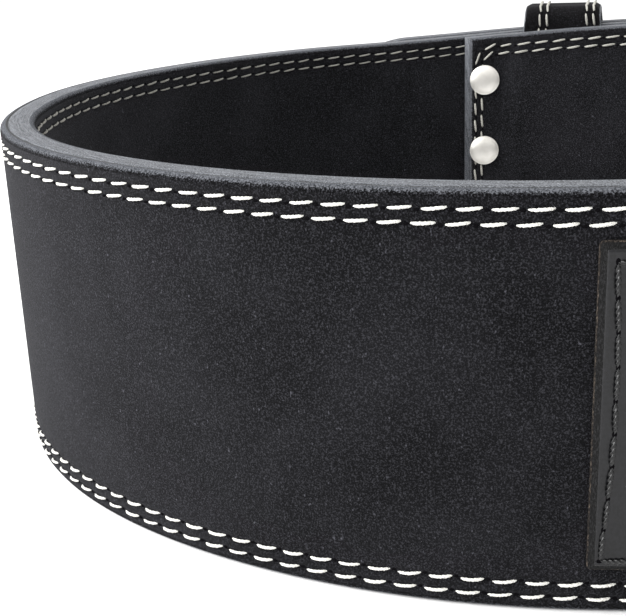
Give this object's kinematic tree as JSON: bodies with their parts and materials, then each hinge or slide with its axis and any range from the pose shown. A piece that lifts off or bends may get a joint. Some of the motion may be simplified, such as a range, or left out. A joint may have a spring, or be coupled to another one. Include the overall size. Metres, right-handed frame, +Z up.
{
  "type": "weightlifting belt",
  "caption": "Thick suede leather weightlifting belt with a prong buckle, riveted fold-back flap, keeper loop and back patch, standing buckled on its edge.",
  "frame": {"origin": "on the floor, under the middle of the belt's box as it stands on its lower edge", "axes": "+Z up, across the strap's width; +X along the longer way of the waist, to the wearer's right as the back faces -Y; -Y is the back with the patch, +Y the front with the buckle"},
  "size_m": [0.394, 0.3282, 0.1138],
  "materials": {
    "suede_leather": "black suede, fine short nap, dyed and polished grey edge",
    "keeper_leather": "black suede, thinner",
    "patch_leather": "glossy black smooth leather, pressed border",
    "buckle_steel": "polished nickel-plated steel",
    "rivet_steel": "polished nickel-plated steel, slightly domed",
    "stitch_thread": "white bonded twisted thread",
    "patch_thread": "black waxed twisted thread"
  },
  "bodies": {
    "root": {"belt_strap": "suede_leather", "keeper_loop": "keeper_leather", "buckle": "buckle_steel", "back_patch": "patch_leather", "rivet_1": "rivet_steel", "rivet_2": "rivet_steel", "rivet_3": "rivet_steel", "rivet_4": "rivet_steel", "rivet_5": "rivet_steel", "rivet_6": "rivet_steel"}
  },
  "joints": []
}
